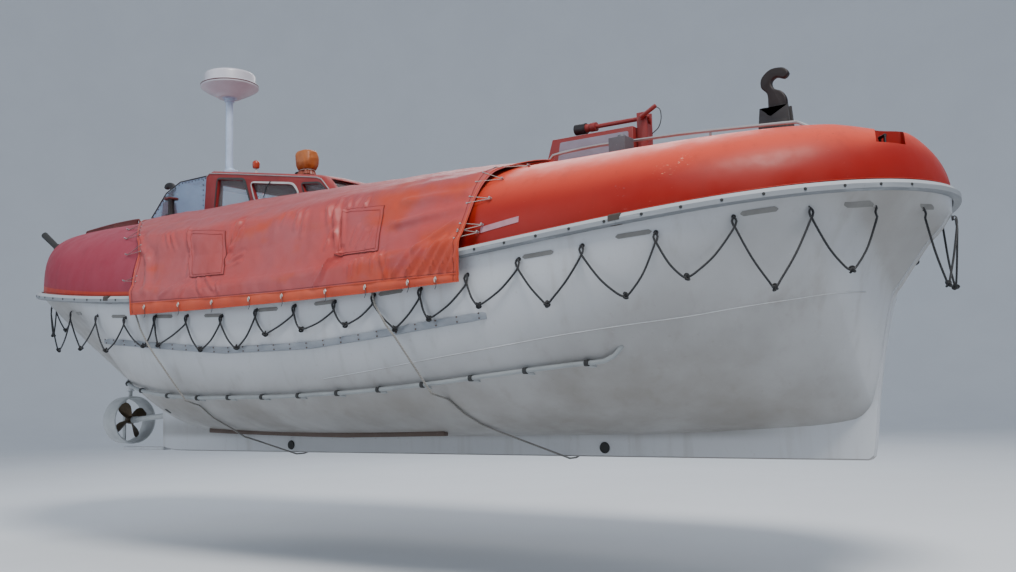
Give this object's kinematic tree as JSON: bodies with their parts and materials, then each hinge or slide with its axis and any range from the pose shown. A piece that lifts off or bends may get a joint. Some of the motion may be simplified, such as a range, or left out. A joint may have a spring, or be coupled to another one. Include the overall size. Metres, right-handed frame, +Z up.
{
  "type": "enclosed lifeboat",
  "caption": "Double-ended rigid lifeboat with stiff end canopies, laced fabric side covers, a small wheelhouse, release hooks and a steering nozzle.",
  "frame": {"origin": "on the centreline amidships, at the waterline of the empty boat, 0.70 m above the keel's underside", "axes": "+X to the bow, +Y to port, +Z up"},
  "size_m": [11.6014, 4.05, 4.6682],
  "materials": {
    "hull_gelcoat": "white gelcoat, weathered",
    "canopy_gelcoat": "orange-red gelcoat, faded",
    "cover_fabric": "coated orange fabric",
    "rail_grey": "grey",
    "strake_grey": "satin",
    "white_paint": "gloss",
    "bar_brown": "worn",
    "pale_rope": "laid rope",
    "black_rope": "laid rope",
    "prop_bronze": "dull",
    "black_steel": "satin",
    "red_steel": "satin",
    "house_red": "gloss",
    "window_glass": "clear",
    "clear_sheet": "clear flexible sheet",
    "grey_panel": "satin",
    "seat_black": "satin",
    "white_plastic": "satin",
    "orange_lens": "satin",
    "orange_fabric": "coated fabric",
    "rail_steel": "dull",
    "board_red": "satin",
    "black_rubber": "matt"
  },
  "bodies": {
    "boat": {"hull": "hull_gelcoat", "keel_shoe": "hull_gelcoat", "rudder_trunk": "hull_gelcoat", "bow_canopy": "canopy_gelcoat", "stern_canopy": "canopy_gelcoat", "roof_deck": "canopy_gelcoat", "cover_starboard": "cover_fabric", "cover_port": "cover_fabric", "rail_bow": "rail_grey", "rail_stern": "rail_grey", "rail_starboard": "rail_grey", "rail_port": "rail_grey", "strake_starboard": "strake_grey", "strake_port": "strake_grey", "grab_pipe_starboard": "white_paint", "grab_pipe_port": "white_paint", "bilge_bar_starboard": "bar_brown", "bilge_bar_port": "bar_brown", "keel_line_fore": "pale_rope", "keel_line_aft": "pale_rope", "grab_line_starboard": "black_rope", "grab_line_port": "black_rope", "stern_tube": "white_paint", "bow_hook_base": "black_steel", "stern_hook_base": "red_steel", "wheelhouse": "house_red", "side_glass_starboard": "window_glass", "side_glass_port": "window_glass", "windscreen": "window_glass", "aft_clear_panel": "clear_sheet", "helm_console": "grey_panel", "helm_seat": "seat_black", "radar_mast": "white_paint", "radome": "white_plastic", "beacon": "orange_lens", "searchlight_bracket": "black_steel", "name_trunk": "house_red", "grey_box": "grey_panel", "light_post": "house_red", "bow_handrail_starboard": "rail_steel", "bow_handrail_port": "rail_steel", "stern_board_starboard": "board_red", "stern_board_port": "board_red", "stern_bollard_starboard": "black_rubber", "stern_bollard_port": "black_rubber", "grab_line_bow": "black_rope", "bow_eye_starboard": "black_steel", "bow_eye_port": "black_steel"},
    "propeller": {"propeller": "prop_bronze"},
    "steering_nozzle": {"steering_nozzle": "white_paint"},
    "bow_hook": {"bow_hook": "black_steel"},
    "stern_hook": {"stern_hook": "black_steel"},
    "searchlight": {"searchlight": "orange_fabric"},
    "light_mast": {"light_mast": "house_red"}
  },
  "joints": [
    {"name": "propeller_spin", "type": "hinge", "parent": "boat", "child": "propeller", "pos_m": [-5.05, 0, -0.296], "axis": [1, 0, 0], "continuous": true},
    {"name": "nozzle_steer", "type": "hinge", "parent": "boat", "child": "steering_nozzle", "pos_m": [-5.05, 0, -0.296], "axis": [0, 0, 1], "range_deg": [-30, 30]},
    {"name": "bow_hook_release", "type": "hinge", "parent": "boat", "child": "bow_hook", "pos_m": [4.4, 0, 2.32], "axis": [0, 1, 0], "range_deg": [0, 60]},
    {"name": "stern_hook_release", "type": "hinge", "parent": "boat", "child": "stern_hook", "pos_m": [-4.23, 0, 2.635], "axis": [0, -1, 0], "range_deg": [0, 60]},
    {"name": "searchlight_pan", "type": "hinge", "parent": "boat", "child": "searchlight", "pos_m": [-1.25, -0.25, 2.6], "axis": [0, 0, 1], "range_deg": [-175, 175]},
    {"name": "light_mast_raise", "type": "hinge", "parent": "boat", "child": "light_mast", "pos_m": [3.085, 0, 2.49], "axis": [0, 1, 0], "range_deg": [0, 90]}
  ]
}
